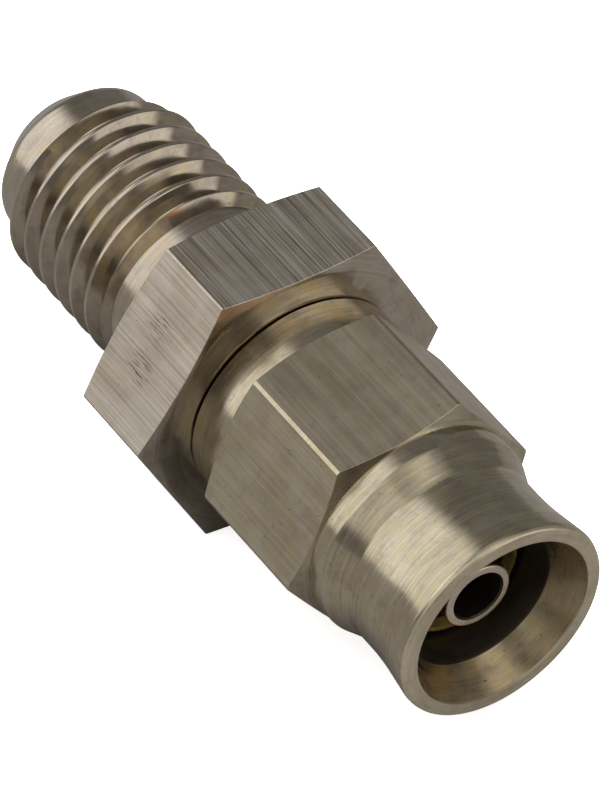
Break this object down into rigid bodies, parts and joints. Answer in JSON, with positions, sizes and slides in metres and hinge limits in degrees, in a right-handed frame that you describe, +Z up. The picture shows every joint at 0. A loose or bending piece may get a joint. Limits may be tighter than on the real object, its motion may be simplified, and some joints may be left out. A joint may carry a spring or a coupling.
{
  "type": "reusable hose end fitting",
  "caption": "Straight hose end fitting: hexagon adapter with a male threaded stud and hose tail, a loose brass olive and a hexagon socket nut with a bell mouth that screws off.",
  "frame": {"origin": "under the middle of the fitting, on the surface that the body hexagon's lower flat rests on", "axes": "+X along the fitting's axis from the stud to the bell mouth, +Z up through the upper flat of the body hexagon"},
  "size_m": [0.0352, 0.016, 0.0139],
  "materials": {
    "adapter_steel": "machined, drawn flats",
    "olive_brass": "turned",
    "nut_steel": "machined, drawn flats"
  },
  "bodies": {
    "adapter": {"adapter_body": "adapter_steel"},
    "olive": {"compression_olive": "olive_brass"},
    "nut": {"socket_nut": "nut_steel"}
  },
  "joints": [
    {"name": "socket_turn", "type": "hinge", "parent": "adapter", "child": "olive", "pos_m": [0, 0, 0.00695], "axis": [1, 0, 0], "range_deg": [0, 2880]},
    {"name": "socket_advance", "type": "slide", "parent": "olive", "child": "nut", "axis": [1, 0, 0], "range_m": [0, 0.00801]}
  ],
  "couplings": [
    {"joint": "socket_advance", "follows": "socket_turn", "m_per_rad": 0.00015915}
  ]
}
